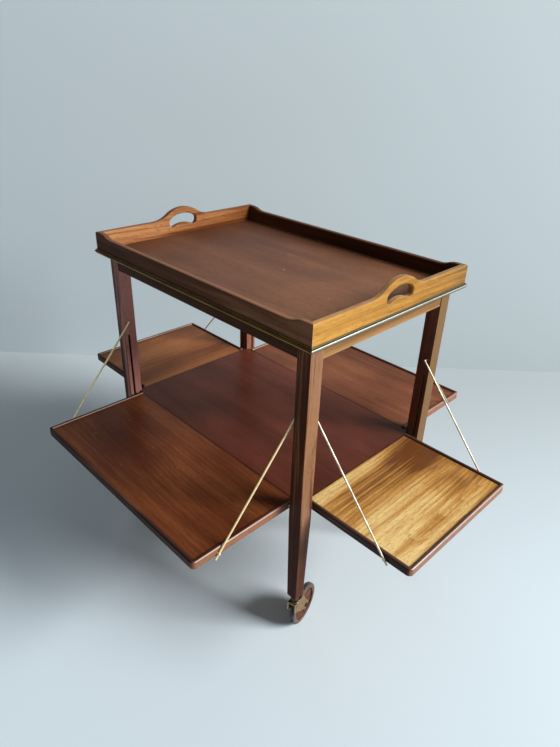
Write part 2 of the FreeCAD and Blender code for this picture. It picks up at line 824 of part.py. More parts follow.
def stay_rod(label, side, sign):
    """Rod bent into the leg at its top, with a stud beside the leaf's edge and a short tail."""
    turn, distance, span, _ = side_lines(side)
    from_leg = D.stay_gap - D.stay_stand_off - D.stay_diameter / 2
    plane = sign * (span - from_leg)
    head = (plane, D.slot_inset, D.stay_pivot_height)
    stud_height = pivot_height - D.stay_stud_drop
    rise = D.stay_pivot_height - stud_height
    length = root(D.stay_stud_reach * D.stay_stud_reach + rise * rise) + D.stay_tail
    lean = tilt(D.stay_stud_reach, rise)
    shaft = rod(head, length, D.stay_diameter, FreeCAD.Rotation(X_AXIS, 180 - lean.number))
    shaft.setExpression("Placement.Rotation.Angle", f"180 deg - {lean.text}")
    outwards = FreeCAD.Rotation(Y_AXIS, 90 * sign)
    hook = rod(head, from_leg + D.stay_hole_depth - D.stay_end_gap, D.stay_diameter, outwards)
    bend = ball(head, D.stay_bend_diameter)
    stud_start = (sign * (span - D.stay_gap + D.stud_gap), D.slot_inset - D.stay_stud_reach, stud_height)
    stud_length = D.stay_stand_off - D.stud_gap + D.stay_diameter + D.stud_head
    stud = rod(stud_start, stud_length, D.stud_diameter, outwards)
    return piece(put_on_side(fuse([shaft, hook, bend, stud]), turn, distance), label)


def caster_middle(corner):
    """Swivel axis, in the middle of the leg's foot."""
    sx, sy, _ = corner_lines(corner)
    return sx * (half_x - D.leg_foot_width / 2), sy * (half_y - D.leg_foot_width / 2)


def sockets():
    """Sleeves with a flange, one in the end of each leg."""
    sleeves = []
    for corner in CORNERS:
        x, y = caster_middle(corner)
        sleeve = rod((x, y, D.leg_foot_height), D.stem_length + D.socket_end_wall, D.socket_diameter)
        flange = rod((x, y, socket_floor), D.socket_flange_height, D.socket_flange_diameter)
        bore = rod((x, y, socket_floor), D.stem_length + D.socket_flange_height,
                   D.stem_diameter + 2 * D.stem_clearance)
        sleeves.append(cut(fuse([sleeve, flange]), [bore]))
    return piece(group(sleeves), "caster_sockets")


def on_caster(thing, corner, trail=0.0, height=0.0, tip=NO_TURN):
    """Place a piece drawn with the wheel trailing along +X at a corner, turned to its heading."""
    x, y = caster_middle(corner)
    heading = HEADING_ANGLES[corner]
    along_x = math.cos(math.radians(heading))
    along_y = math.sin(math.radians(heading))
    trail = as_size(trail)
    turn = FreeCAD.Rotation(Z_AXIS, heading).multiply(tip)
    return place(thing, (x + trail * along_x, y + trail * along_y, height), turn)


def fork_inside():
    """Half the clear width between the cheeks."""
    return D.wheel_width / 2 + D.fork_gap


def caster_fork(label, corner):
    crown = D.fork_crown_height
    axle = D.wheel_radius
    nose = D.fork_nose_radius
    trail = D.fork_trail
    owner = body()
    cheek = outline(
        sketch(owner, "XZ_Plane"),
        [(-D.fork_front, crown), (D.fork_shoulder, crown), (trail + nose, axle), (trail, axle - nose),
         (-D.fork_front, crown - D.fork_cheek_drop)],
        {2: (nose, 1)},
    )
    pad(owner, cheek, 2 * (fork_inside() + D.fork_thickness), middle=True)
    far = trail + nose + CUT_MARGIN
    near = -D.fork_front - CUT_MARGIN
    under = crown - D.fork_thickness
    space = outline(
        sketch(owner, "XZ_Plane"),
        [(near, 0), (far, 0), (far, crown + CUT_MARGIN), (D.fork_crown_reach, crown + CUT_MARGIN),
         (D.fork_crown_reach, under), (near, under)],
    )
    pocket(owner, space, 2 * fork_inside())
    collar = rod((0, 0, crown), socket_floor - D.collar_play - crown, D.collar_diameter)
    stem = rod((0, 0, crown), D.leg_foot_height + D.stem_length - D.collar_play - crown, D.stem_diameter)
    width = fork_inside() + D.fork_thickness
    bore = rod((trail, -width, axle), 2 * width, D.axle_diameter + 2 * D.axle_clearance, ALONG_Y)
    return piece(on_caster(cut(fuse([owner, collar, stem]), [bore]), corner), label)


def caster_axle(label, corner):
    width = fork_inside() + D.fork_thickness
    height = D.axle_head_height
    pin = rod((0, -width, 0), 2 * width, D.axle_diameter, ALONG_Y)
    starts = (-width - height, width)
    heads = [rod((0, start, 0), height, D.axle_head_diameter, ALONG_Y) for start in starts]
    return piece(on_caster(fuse([pin] + heads), corner, D.fork_trail, D.wheel_radius), label)


def caster_wheel(label, corner):
    """Turned disc: a hub, a dished web on both faces and a raised rim."""
    half = D.wheel_width / 2
    bore = D.axle_diameter / 2 + D.axle_clearance
    outer = D.wheel_radius - D.tyre_thickness
    dish = half - D.wheel_dish_depth
    rim = outer - D.wheel_rim_width
    owner = body()
    hub = D.hub_radius
    right = [(bore, half), (hub, half), (hub, dish), (rim, dish), (rim, half), (outer, half)]
    left = [(r, -w) for r, w in reversed(right)]
    revolve(owner, outline(sketch(owner, "XZ_Plane"), right + left))
    return piece(on_caster(owner, corner, D.fork_trail, D.wheel_radius, ALONG_Y), label)


def caster_tyre(label, corner):
    """Tyre with bevelled shoulders and two grooves round its tread."""
    half = D.wheel_width / 2
    inner = D.wheel_radius - D.tyre_thickness + D.tyre_seat_clearance
    outer = D.wheel_radius
    groove = D.tyre_groove_width / 2
    floor = outer - D.tyre_groove_depth
    middle = D.tyre_groove_place
    owner = body()
    right = [
        (inner, half),
        (outer - D.tyre_bead_depth, half),
        (outer, half - D.tyre_bead_depth),
        (outer, middle + groove),
        (floor, middle + groove),
        (floor, middle - groove),
        (outer, middle - groove),
    ]
    left = [(r, -w) for r, w in reversed(right)]
    revolve(owner, outline(sketch(owner, "XZ_Plane"), right + left))
    return piece(on_caster(owner, corner, D.fork_trail, D.wheel_radius, ALONG_Y), label)


for corner in CORNERS:
    leg(f"leg_{corner}", corner)
for side in SIDES:
    apron(f"apron_{side}", side)
    moulding(f"edge_moulding_{side}", side)
top_board()
top_fixings()
shelf()
tray_floor()
tray_end("tray_end_right", 0)
tray_end("tray_end_left", 180)
tray_side("tray_side_front", 0)
tray_side("tray_side_back", 180)
piece(place(group(panel_pins()), (0, 0, tray_base)), "tray_panel_pins")
for side in SIDES:
    leaf_panel(f"{side}_leaf_panel", side)
    leaf_rim(f"{side}_leaf_rim", side)
    leaf_pivots(f"{side}_leaf_pivots", side)
    stay_rod(f"{side}_stay_rod_a", side, -1)
    stay_rod(f"{side}_stay_rod_b", side, 1)
sockets()
for corner in CORNERS:
    caster_fork(f"{corner}_caster_fork", corner)
    caster_axle(f"{corner}_caster_axle", corner)
    caster_wheel(f"{corner}_caster_wheel", corner)
    caster_tyre(f"{corner}_caster_tyre", corner)

doc.recompute()
faults = [thing.Label for thing in doc.Objects if {"Invalid", "Error"} & set(thing.State)]
faults += [thing.Label for thing in PIECES if thing.Shape.isNull() or not thing.Shape.isValid()]
faults += [thing.Label for thing in PIECES if not thing.Shape.Solids]
if faults:
    raise RuntimeError("failed pieces: " + ", ".join(faults))
os.makedirs("parts", exist_ok=True)
for thing in PIECES:
    thing.Shape.exportStep(f"parts/{thing.Label}.step")
    print(thing.Label, len(thing.Shape.Solids), round(thing.Shape.Volume))
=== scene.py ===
import math

import bpy
from mathutils import Matrix, Vector


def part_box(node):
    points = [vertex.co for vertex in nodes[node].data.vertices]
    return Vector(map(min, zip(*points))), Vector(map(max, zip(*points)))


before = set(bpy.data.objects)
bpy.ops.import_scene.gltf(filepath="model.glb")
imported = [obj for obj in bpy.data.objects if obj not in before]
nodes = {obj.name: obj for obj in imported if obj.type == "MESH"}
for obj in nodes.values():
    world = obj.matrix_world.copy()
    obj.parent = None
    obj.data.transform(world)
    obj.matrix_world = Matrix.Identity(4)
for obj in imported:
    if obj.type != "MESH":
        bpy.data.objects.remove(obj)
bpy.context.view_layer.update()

# Numbers of the colour and vector sockets on a mixing node, which share their names.
MIX_COLOURS, MIX_COLOUR_RESULT = (6, 7), 2
MIX_VECTORS, MIX_VECTOR_RESULT = (4, 5), 1


class Tree:
    """A material's node tree with short ways to add and join nodes."""

    def __init__(self, name):
        self.material = bpy.data.materials.new(name)
        self.material.use_nodes = True
        self.tree = self.material.node_tree
        self.tree.nodes.clear()
        self.output = self.add("ShaderNodeOutputMaterial")
        self.shader = self.add("ShaderNodeBsdfPrincipled")
        self.join(self.shader.outputs["BSDF"], self.output.inputs["Surface"])

    def join(self, source, target):
        self.tree.links.new(source, target)

    def feed(self, target, value):
        if isinstance(value, bpy.types.NodeSocket):
            self.join(value, target)
        else:
            target.default_value = value

    def add(self, kind, settings=None, **inputs):
        node = self.tree.nodes.new(kind)
        for name, value in (settings or {}).items():
            setattr(node, name, value)
        for name, value in inputs.items():
            self.feed(node.inputs[name.replace("_", " ")], value)
        return node

    def shade(self, **inputs):
        """Feed inputs of the surface."""
        for name, value in inputs.items():
            self.feed(self.shader.inputs[name.replace("_", " ")], value)

    def math(self, kind, first, second=0.0):
        node = self.add("ShaderNodeMath", {"operation": kind})
        self.feed(node.inputs[0], first)
        self.feed(node.inputs[1], second)
        return node.outputs[0]

    def times(self, first, second):
        return self.math("MULTIPLY", first, second)

    def plus(self, first, second):
        return self.math("ADD", first, second)

    def swing(self, noise, gain):
        """Noise moved to lie about zero, times a gain."""
        return self.times(self.math("SUBTRACT", noise, 0.5), gain)

    def vectors(self, kind, first, second):
        node = self.add("ShaderNodeVectorMath", {"operation": kind})
        self.feed(node.inputs[0], first)
        self.feed(node.inputs[1], second)
        return node.outputs

    def parts(self, vector):
        return self.add("ShaderNodeSeparateXYZ", Vector=vector).outputs

    def mix(self, factor, first, second, blend="MIX"):
        node = self.add("ShaderNodeMix", {"data_type": "RGBA", "blend_type": blend})
        self.feed(node.inputs[0], factor)
        for socket, value in zip(MIX_COLOURS, (first, second)):
            self.feed(node.inputs[socket], colour(value))
        return node.outputs[MIX_COLOUR_RESULT]

    def choose(self, factor, first, second):
        """The first vector where the factor is zero, the second where it is one."""
        node = self.add("ShaderNodeMix", {"data_type": "VECTOR"})
        self.feed(node.inputs[0], factor)
        for socket, value in zip(MIX_VECTORS, (first, second)):
            self.feed(node.inputs[socket], value)
        return node.outputs[MIX_VECTOR_RESULT]

    def spread(self, value, low, high, to_low=0.0, to_high=1.0):
        """A smooth step between two values."""
        node = self.add("ShaderNodeMapRange", {"interpolation_type": "SMOOTHSTEP"})
        for index, part in enumerate((value, low, high, to_low, to_high)):
            self.feed(node.inputs[index], part)
        return node.outputs[0]

    def noise(self, vector, scale=1.0, detail=2.0, roughness=0.5, distortion=0.0):
        node = self.add("ShaderNodeTexNoise", Vector=vector, Scale=scale, Detail=detail,
                        Roughness=roughness, Distortion=distortion)
        return node.outputs["Fac"]

    def stretch(self, vector, scale):
        return self.add("ShaderNodeMapping", Vector=vector, Scale=scale).outputs["Vector"]


def to_linear(part):
    """One sRGB number from 0 to 1 as linear light."""
    if part <= 0.04045:
        return part / 12.92
    return ((part + 0.055) / 1.055) ** 2.4


def colour(value):
    """sRGB numbers from 0 to 255 as a linear colour; sockets pass through."""
    if isinstance(value, bpy.types.NodeSocket):
        return value
    return [to_linear(part / 255) for part in value] + [1.0]


QUARTER = math.pi / 2
GRAIN_TURN = {"x": (0.0, 0.0, 0.0), "y": (0.0, 0.0, QUARTER), "z": (0.0, QUARTER, 0.0)}

# How often each kind of figure repeats along and across the grain, roughly, per metre.
SWAY_STRETCH = (2.2, 9.0, 9.0)
BANDS_ALONG = 0.9
FINE_STRETCH = (3.0, 130.0, 130.0)
FIBRE_STRETCH = (14.0, 820.0, 820.0)
CLOUD_STRETCH = (5.0, 9.0, 9.0)
LINE_STRETCH = (0.5, 70.0, 70.0)
PORE_STRETCH = (55.0, 1100.0, 1100.0)
FLECK_STRETCH = (110.0, 330.0, 330.0)
WEAR_AND_LIGHT_STRETCH = (12.0, 40.0, 40.0)
NICK_STRETCH = (24.0, 40.0, 40.0)
SCRATCH_STRETCH = (9.0, 60.0, 60.0)

SWAY_REACH = 0.03
BAND_GAIN = 1.9
STREAK_GAIN = 1.6
BLOTCH_GAIN = 1.6
HEART_TILT = (0.0, 0.11, 0.02)
HEART_DEPTH = -0.3
DARK_STOP, MIDDLE_STOP, LIGHT_STOP = 0.15, 0.5, 0.85
PORE_STRENGTH = 0.45
FIBRE_STRENGTH = 0.22
SCRATCH_STRENGTH = 0.35
CLOUD_ROUGHNESS, PORE_ROUGHNESS = 0.22, 0.14
POLISH_ROUGHNESS, POLISH_INDEX = 0.4, 2.0
EDGE_SAMPLES, SOFT_SAMPLES = 6, 4

# Where a mask starts and ends, and what it is at each end where that isn't zero and one.
PORE_RANGE = (0.58, 0.68)
FLECK_RANGE = (0.6, 0.7)
LINE_LEVEL, LINE_RANGE = 0.56, (0.0, 0.03, 1.0, 0.0)
EDGE_RANGE = (0.02, 0.22)
EDGE_WEAR_AND_LIGHT_RANGE = (0.3, 0.65, 0.35, 1.0)
UPWARD_RANGE = (0.3, 0.85)
TOP_LIGHT_NOISE_RANGE = (0.25, 0.6, 0.6, 1.0)
POLISH_START, POLISH_END = (0.2, 0.45), (0.88, 0.99, 1.0, 0.0)
POLISH_SIDE = (0.05, 0.35)
NICK_RANGE, NICK_LOT = (0.05, 0.09, 1.0, 0.0), 0.72
SCRATCH_RANGE = (0.0, 0.012, 1.0, 0.0)
SCRATCH_PATCHES, SCRATCH_PATCH_RANGE = 14.0, (0.62, 0.68)
PATCH_CORE = 0.4


def edge_mask(t, radius, span):
    """One along edges, which take wear and painted light: where a rounded normal leaves the flat one."""
    rounded = t.add("ShaderNodeBevel", {"samples": EDGE_SAMPLES}, Radius=radius).outputs["Normal"]
    flat = t.add("ShaderNodeNewGeometry").outputs["Normal"]
    agreement = t.vectors("DOT_PRODUCT", rounded, flat)["Value"]
    return t.spread(t.math("SUBTRACT", 1.0, agreement), *span)


def relief(t, height, strength, distance, rounding=None):
    """Fine bumps, on edges that look slightly rounded where a rounding is given."""
    bump = t.add("ShaderNodeBump", Strength=strength, Distance=distance, Height=height)
    if rounding:
        soft = t.add("ShaderNodeBevel", {"samples": SOFT_SAMPLES}, Radius=rounding)
        t.join(soft.outputs["Normal"], bump.inputs["Normal"])
    t.shade(Normal=bump.outputs["Normal"])


def grain_space(t, grain, offset):
    """Object coordinates turned so that the grain runs along the first axis, gently warped."""
    place = t.add("ShaderNodeTexCoord").outputs["Object"]
    if isinstance(grain, str):
        turn = GRAIN_TURN[grain]
        turned = t.add("ShaderNodeMapping", Vector=place, Rotation=turn, Location=offset).outputs["Vector"]
    else:
        turned = grain(t, place, offset)
    sway = t.noise(t.stretch(turned, SWAY_STRETCH), detail=1.0)
    shift = t.swing(sway, SWAY_REACH)
    push = t.add("ShaderNodeCombineXYZ", Y=shift, Z=shift).outputs["Vector"]
    return t.vectors("ADD", turned, push)["Vector"]


def rim_grain(half, reach, along):
    """Grain that follows each strip of a leaf's rim, meeting at the mitres."""

    def turn(t, place, offset):
        parts = t.parts(place)
        wide, deep = (parts["X"], parts["Y"]) if along == "x" else (parts["Y"], parts["X"])
        from_end = t.math("SUBTRACT", half, t.math("ABSOLUTE", wide))
        from_outer = t.math("SUBTRACT", reach, t.math("ABSOLUTE", deep))
        outer = t.math("LESS_THAN", from_outer, from_end)
        on_end = t.add("ShaderNodeCombineXYZ", X=deep, Y=wide, Z=parts["Z"]).outputs["Vector"]
        on_outer = t.add("ShaderNodeCombineXYZ", X=wide, Y=deep, Z=parts["Z"]).outputs["Vector"]
        chosen = t.choose(outer, on_end, on_outer)
        return t.add("ShaderNodeMapping", Vector=chosen, Location=offset).outputs["Vector"]

    return turn


def wood(name, grain, dark, mid, light, worn, offset=(0.0, 0.0, 0.0), bands=12.0, contrast=1.0, streak=0.35,
         figure=0.0, rings=30.0, heart=0.03, twist=7.0, blotch=0.3, wear_and_painted_light=0.5, edge=0.0022, rough=0.38,
         sheen=0.06, gleam=(1.0, 0.72, 0.5, 1.0), marks=0.0, nick=None, flecks=0.0, drift=None, lit_side=None,
         lines=0.0, top_edge_light=0.0, polish=0.0, patches=()):
    """Polished wood: broad bands, growth rings, streaks, pores, edges with wear and painted light, and a
    satin surface.

    heart and twist place and bend the growth rings, flecks adds short dark dashes, drift (direction,
    change per metre, middle) lets the tone change across a board, lit_side (axis, change) paints the faces
    towards that axis lighter as painted light, lines adds long thin dark lines, top_edge_light tints upward
    faces towards the edge colour, a painted highlight where that colour is pale, wear_and_painted_light tints
    the edges towards it, partly wear and partly painted light, polish is the shine of rounded upper edges on
    the right, and each patch (middle, radius, change) is a cloudy spot of another tone.
    change) is a cloudy spot of another tone.
    """
    t = Tree(name)
    space = grain_space(t, grain, offset)
    coordinates = t.add("ShaderNodeTexCoord").outputs
    place = coordinates["Object"]
    facing = t.parts(coordinates["Normal"])
    broad = t.noise(t.stretch(space, (BANDS_ALONG, bands, bands)), detail=3.0, roughness=0.55, distortion=0.4)
    fine = t.noise(t.stretch(space, FINE_STRETCH), detail=3.0, roughness=0.6)
    fibre = t.noise(t.stretch(space, FIBRE_STRETCH), roughness=0.6)
    cloud = t.noise(t.stretch(space, CLOUD_STRETCH))
    pore = t.spread(t.noise(t.stretch(space, PORE_STRETCH), detail=1.0), *PORE_RANGE)
    rub_and_painted_light = t.noise(t.stretch(space, WEAR_AND_LIGHT_STRETCH), detail=3.0)

    tone = t.plus(t.swing(broad, BAND_GAIN * contrast), 0.5)
    tone = t.plus(tone, t.swing(fine, STREAK_GAIN * streak))
    tone = t.plus(tone, t.swing(cloud, BLOTCH_GAIN * blotch))
    if drift:
        direction, change, middle = drift
        along = t.vectors("DOT_PRODUCT", place, direction)["Value"]
        tone = t.plus(tone, t.times(t.math("SUBTRACT", along, middle), change))
    # Painted light: the faces towards the lit_side axis are painted lighter.
    if lit_side:
        axis, change = lit_side
        tone = t.plus(tone, t.times(t.math("MAXIMUM", facing[axis], 0.0), change))
    for spot, radius, change in patches:
        away = t.vectors("DISTANCE", place, spot)["Value"]
        ragged = t.plus(away, t.swing(cloud, radius))
        tone = t.plus(tone, t.spread(ragged, PATCH_CORE * radius, radius, change, 0.0))
    if figure:
        tone = t.plus(tone, t.swing(growth_rings(t, space, heart, rings, twist), figure))
    if lines:
        line = t.noise(t.stretch(space, LINE_STRETCH), detail=1.0)
        line = t.spread(t.math("ABSOLUTE", t.math("SUBTRACT", line, LINE_LEVEL)), *LINE_RANGE)
        tone = t.math("SUBTRACT", tone, t.times(line, lines))

    hue = tone_colours(t, tone, dark, mid, light)
    hue = t.mix(t.times(pore, PORE_STRENGTH), hue, dark)
    hue = t.mix(t.times(fibre, FIBRE_STRENGTH), hue, dark, "MULTIPLY")
    if flecks:
        fleck = t.spread(t.noise(t.stretch(space, FLECK_STRETCH), detail=1.0), *FLECK_RANGE)
        hue = t.mix(t.times(fleck, flecks), hue, dark)
    if marks:
        hue = t.mix(t.times(wear_marks(t, space), marks), hue, nick or worn)
    # Edges are tinted towards the edge colour: partly wear, partly painted light, pale highlights on most
    # pieces and dark seam shade on the shelf and leaf panels.
    rubbed_edge_and_painted_light = t.times(edge_mask(t, edge, EDGE_RANGE), t.spread(rub_and_painted_light, *EDGE_WEAR_AND_LIGHT_RANGE))
    hue = t.mix(t.times(rubbed_edge_and_painted_light, wear_and_painted_light), hue, worn)
    # Painted light: upward faces are tinted towards the edge colour, a painted highlight where that colour is
    # pale.
    if top_edge_light:
        top_edge_light_mask = t.times(t.spread(facing["Z"], *UPWARD_RANGE), t.spread(rub_and_painted_light, *TOP_LIGHT_NOISE_RANGE))
        hue = t.mix(t.times(top_edge_light_mask, top_edge_light), hue, worn)

    gloss = t.plus(t.plus(rough, t.swing(cloud, CLOUD_ROUGHNESS)), t.times(pore, PORE_ROUGHNESS))
    t.shade(Base_Color=hue, Roughness=gloss, Specular_IOR_Level=sheen, Specular_Tint=gleam)
    if polish:
        rounded = t.times(t.spread(facing["Z"], *POLISH_START), t.spread(facing["Z"], *POLISH_END))
        rounded = t.times(rounded, t.spread(facing["X"], *POLISH_SIDE))
        t.shade(Coat_Weight=t.times(rounded, polish), Coat_Roughness=POLISH_ROUGHNESS, Coat_IOR=POLISH_INDEX)
    relief(t, t.math("SUBTRACT", t.times(fibre, 0.5), pore), strength=0.10, distance=0.0006, rounding=0.0009)
    return t.material


def growth_rings(t, space, heart, rings, twist):
    """Rings about a heart line beside the board, slightly tilted to the grain."""
    tilted = t.add("ShaderNodeMapping", Vector=space, Rotation=HEART_TILT, Location=(0.0, heart, HEART_DEPTH))
    kind = {"wave_type": "RINGS", "rings_direction": "X", "wave_profile": "SAW"}
    wave = t.add("ShaderNodeTexWave", kind, Vector=tilted.outputs["Vector"], Scale=rings, Distortion=twist,
                 Detail=3.0, Detail_Scale=0.5, Detail_Roughness=0.65)
    return wave.outputs["Fac"]


def tone_colours(t, tone, dark, mid, light):
    """Dark, middle and light wood along a tone from 0 to 1."""
    ramp = t.add("ShaderNodeValToRGB", Fac=tone)
    stops = ramp.color_ramp.elements
    stops[0].position = DARK_STOP
    stops[0].color = colour(dark)
    stops[1].position = LIGHT_STOP
    stops[1].color = colour(light)
    stops.new(MIDDLE_STOP).color = colour(mid)
    return ramp.outputs["Color"]


def wear_marks(t, space):
    """Sparse pale nicks and short scratches."""
    cells = t.add("ShaderNodeTexVoronoi", Vector=t.stretch(space, NICK_STRETCH), Scale=1.0)
    spot = t.spread(cells.outputs["Distance"], *NICK_RANGE)
    lot = t.add("ShaderNodeSeparateColor", Color=cells.outputs["Color"]).outputs["Red"]
    nicks = t.times(spot, t.math("GREATER_THAN", lot, NICK_LOT))
    line = t.noise(t.stretch(space, SCRATCH_STRETCH), detail=0.0, distortion=0.4)
    ridge = t.spread(t.math("ABSOLUTE", t.math("SUBTRACT", line, 0.5)), *SCRATCH_RANGE)
    patch = t.spread(t.noise(space, SCRATCH_PATCHES, detail=1.0), *SCRATCH_PATCH_RANGE)
    return t.math("MAXIMUM", nicks, t.times(t.times(ridge, patch), SCRATCH_STRENGTH))


BAND_SOFTNESS = 0.0003
GRIME_STRENGTH = 0.5
TARNISH_RANGE = (0.38, 0.66)
GRIME_SCALE, GRIME_RANGE = 210.0, (0.58, 0.72)
FINE_SCALE = 900.0
BRIGHT_EDGE_RANGE = (0.02, 0.3)
TARNISH_ROUGHNESS, GRIME_ROUGHNESS = 0.16, 0.12


def metal(name, bright, dull, grime_and_shade, rough=0.34, grain_scale=(60.0, 60.0, 60.0), tarnish=0.55, edge=0.0012,
          bare=1.0, bands=(), rubbed_edge_and_painted_light=None, rub_and_painted_light=0.5):
    """Worn metal: tarnish in patches, edges brightened by wear and painted highlight, and fine scratches.

    bare is how metallic the surface is, each band (low, high, strength) is a height range darkened towards
    the grime_and_shade colour as painted shade, and rubbed_edge_and_painted_light is the colour of the edges,
    where it isn't the bright one.
    """
    t = Tree(name)
    place = t.add("ShaderNodeTexCoord").outputs["Object"]
    patches = t.spread(t.noise(t.stretch(place, grain_scale), detail=4.0, roughness=0.62), *TARNISH_RANGE)
    fine = t.noise(place, FINE_SCALE)
    spots = t.spread(t.noise(place, GRIME_SCALE, detail=3.0, roughness=0.6), *GRIME_RANGE)
    hue = t.mix(t.times(patches, tarnish), bright, dull)
    hue = t.mix(t.times(spots, GRIME_STRENGTH), hue, grime_and_shade)
    level = t.parts(place)["Z"]
    # Painted shade: each band darkens a height range towards the grime_and_shade colour.
    for low, high, strength in bands:
        over = t.spread(level, low - BAND_SOFTNESS, low + BAND_SOFTNESS)
        under = t.spread(level, high - BAND_SOFTNESS, high + BAND_SOFTNESS, 1.0, 0.0)
        hue = t.mix(t.times(t.times(over, under), strength), hue, grime_and_shade)
    # Edges are tinted towards the edge colour: wear, and on the casters a painted highlight.
    if rub_and_painted_light:
        hue = t.mix(t.times(edge_mask(t, edge, BRIGHT_EDGE_RANGE), rub_and_painted_light), hue, rubbed_edge_and_painted_light or bright)
    gloss = t.plus(t.plus(rough, t.times(patches, TARNISH_ROUGHNESS)), t.times(spots, GRIME_ROUGHNESS))
    t.shade(Base_Color=hue, Metallic=bare, Roughness=gloss)
    relief(t, fine, strength=0.12, distance=0.0003, rounding=0.0006)
    return t.material


RIDGE_EDGE, RIDGE_RANGE = 0.0009, (0.02, 0.25)
RIDGE_GLINT_STRENGTH = 0.85
DUST_SCALE, DUST_RANGE = 60.0, (0.42, 0.68)
TREAD_DUST, WALL_DUST = 0.35, 0.4
WALL_RANGE = (0.45, 0.85)
RUBBER_SCALE = 700.0
RUBBER_ROUGHNESS, DUST_ROUGHNESS = 0.6, 0.2
RUBBER_SHEEN = 0.15


def rubber(name, tread, ridge, wall, axle):
    """Tyre: dark dusty tread, ridge edges pale from wear and painted highlight, paler dusty walls square to
    the axle.
    """
    t = Tree(name)
    coordinates = t.add("ShaderNodeTexCoord").outputs
    place = coordinates["Object"]
    dust = t.spread(t.noise(place, DUST_SCALE, detail=4.0, roughness=0.65), *DUST_RANGE)
    fine = t.noise(place, RUBBER_SCALE)
    along = t.vectors("DOT_PRODUCT", coordinates["Normal"], axle)["Value"]
    beside = t.spread(t.math("ABSOLUTE", along), *WALL_RANGE)
    hue = t.mix(t.times(dust, TREAD_DUST), tread, ridge)
    # Painted highlight: ridge edges are tinted towards the pale ridge colour, partly wear.
    hue = t.mix(t.times(edge_mask(t, RIDGE_EDGE, RIDGE_RANGE), RIDGE_GLINT_STRENGTH), hue, ridge)
    hue = t.mix(beside, hue, t.mix(t.times(dust, WALL_DUST), wall, tread))
    gloss = t.plus(RUBBER_ROUGHNESS, t.times(dust, DUST_ROUGHNESS))
    t.shade(Base_Color=hue, Roughness=gloss, Specular_IOR_Level=RUBBER_SHEEN)
    relief(t, fine, strength=0.2, distance=0.0004)
    return t.material


def paint(node, material):
    for slot in nodes[node].material_slots:
        slot.material = material


SIDES = ("front", "right", "back", "left")
GRAIN_ALONG = {"front": "x", "right": "y", "back": "x", "left": "y"}
CORNERS = ("front_left", "front_right", "back_right", "back_left")
TOWARDS_X = (1.0, 0.0, 0.0)
TOWARDS_Y = (0.0, 1.0, 0.0)
TOWARDS_Z = (0.0, 0.0, 1.0)

# Tones of wood are dark, middle, light and an edge colour for wear and painted light. Offsets take each
# piece's grain from another place.
leg_tones = {
    "front_left": ((56, 33, 22), (78, 51, 37), (206, 144, 134), (190, 134, 120)),
    "front_right": ((62, 29, 18), (86, 45, 30), (144, 104, 76), (196, 146, 118)),
    "back_right": ((84, 44, 36), (110, 64, 52), (118, 90, 58), (170, 132, 92)),
    "back_left": ((76, 42, 30), (104, 64, 48), (146, 98, 80), (180, 128, 108)),
}
# Painted light: leg_lit_side paints each leg's faces towards +X lighter, and the front-left leg's pale light
# tone, reached on its right face, lights that shaded face.
leg_lit_side = {"front_left": 0.6, "front_right": 0.45, "back_right": 0.5, "back_left": 0.3}
leg_drift = {
    "front_left": (TOWARDS_Z, 0.0, 0.42),
    "front_right": (TOWARDS_Z, 1.1, 0.55),
    "back_right": (TOWARDS_Z, 0.2, 0.42),
    "back_left": (TOWARDS_Z, 0.2, 0.42),
}
for number, corner in enumerate(CORNERS):
    paint(f"leg_{corner}", wood(
        f"leg_wood_{corner}", "z", *leg_tones[corner], offset=(0.3 * number, 0.17 * number, 0.0), bands=38.0,
        contrast=0.6, streak=0.8, wear_and_painted_light=0.4, drift=leg_drift[corner], lit_side=("X", leg_lit_side[corner]),
        lines=0.2))

apron_tones = {
    "x": ((48, 28, 16), (68, 40, 24), (88, 55, 35), (134, 94, 66)),
    "y": ((100, 68, 38), (140, 102, 62), (166, 128, 84), (190, 152, 108)),
}
for number, side in enumerate(SIDES):
    run = GRAIN_ALONG[side]
    paint(f"apron_{side}", wood(
        f"apron_wood_{side}", run, *apron_tones[run], offset=(0.21 * number, 0.4, 0.1 * number), bands=30.0,
        lines=0.2))

# The right end's pale edge colour lines its edges and upward faces: a painted highlight, partly wear.
right_end_tones = ((108, 83, 46), (164, 115, 50), (192, 143, 68), (232, 200, 172))
paint("tray_end_right", wood(
    "tray_end_wood_right", "y", *right_end_tones, offset=(0.0, 0.3, 0.0), bands=44.0, contrast=0.35,
    streak=0.5, figure=0.1, blotch=0.4, wear_and_painted_light=0.7, edge=0.0015, flecks=0.3, drift=(TOWARDS_Y, -1.2, 0.0),
    lines=0.16, top_edge_light=0.14))
# The left end's dark edge colour darkens its edges and, strongly, its upward faces.
left_end_tones = ((96, 52, 24), (148, 95, 56), (184, 132, 88), (112, 72, 56))
paint("tray_end_left", wood(
    "tray_end_wood_left", "y", *left_end_tones, offset=(0.5, 0.7, 0.2), bands=44.0, contrast=0.45,
    streak=0.8, figure=0.1, blotch=0.2, flecks=0.3, drift=(TOWARDS_Y, -1.3, 0.0), lines=0.3, top_edge_light=0.75))
